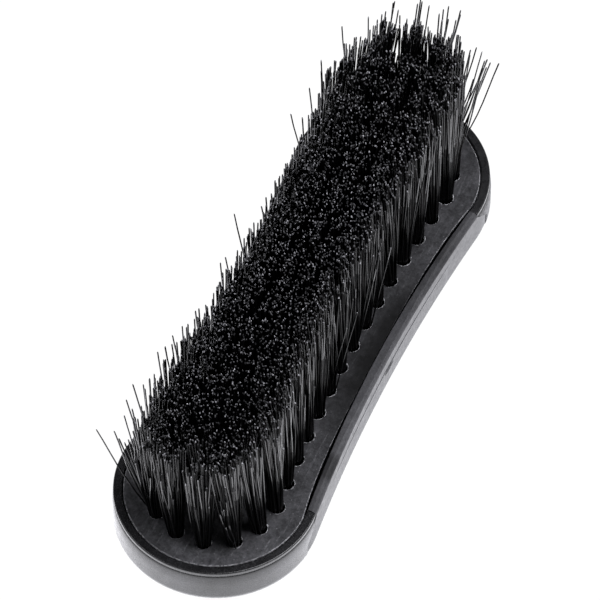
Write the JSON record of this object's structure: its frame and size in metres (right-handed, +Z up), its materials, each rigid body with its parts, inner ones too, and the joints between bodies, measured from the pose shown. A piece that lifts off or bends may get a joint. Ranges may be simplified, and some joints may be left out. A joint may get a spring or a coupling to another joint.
{
  "type": "wheel brush",
  "caption": "Hand-held scrub brush with a peanut-shaped body, a soft waist grip and dense stiff bristles, lying on its back.",
  "frame": {"origin": "middle of the flat back of the body, on which the brush stands with its bristles up", "axes": "+X along the body's length, +Y across it, +Z up out of the back through the bristles"},
  "size_m": [0.17, 0.056, 0.055],
  "materials": {
    "shell_plastic": "fine satin moulded polypropylene, near black",
    "grip_rubber": "matt soft thermoplastic rubber with a fine ribbed texture, charcoal",
    "block_plastic": "matt moulded polypropylene with faint flow marks, charcoal",
    "bristle": "black drawn filament with a soft sheen and paler cut ends",
    "anchor_wire": "plain flat galvanised wire"
  },
  "bodies": {
    "root": {"handle_shell": "shell_plastic", "grip_saddle": "grip_rubber", "tuft_block": "block_plastic", "tufts_row_01": "bristle", "tufts_row_02": "bristle", "tufts_row_03": "bristle", "tufts_row_04": "bristle", "tufts_row_05": "bristle", "tufts_row_06": "bristle", "tufts_row_07": "bristle", "tufts_row_08": "bristle", "tufts_row_09": "bristle", "tufts_row_10": "bristle", "tufts_row_11": "bristle", "tufts_row_12": "bristle", "tufts_row_13": "bristle", "tufts_row_14": "bristle", "tufts_row_15": "bristle", "tufts_row_16": "bristle", "tufts_row_17": "bristle", "tufts_row_18": "bristle", "tufts_row_19": "bristle", "anchors_row_01": "anchor_wire", "anchors_row_02": "anchor_wire", "anchors_row_03": "anchor_wire", "anchors_row_04": "anchor_wire", "anchors_row_05": "anchor_wire", "anchors_row_06": "anchor_wire", "anchors_row_07": "anchor_wire", "anchors_row_08": "anchor_wire", "anchors_row_09": "anchor_wire", "anchors_row_10": "anchor_wire", "anchors_row_11": "anchor_wire", "anchors_row_12": "anchor_wire", "anchors_row_13": "anchor_wire", "anchors_row_14": "anchor_wire", "anchors_row_15": "anchor_wire", "anchors_row_16": "anchor_wire", "anchors_row_17": "anchor_wire", "anchors_row_18": "anchor_wire", "anchors_row_19": "anchor_wire"}
  },
  "joints": []
}
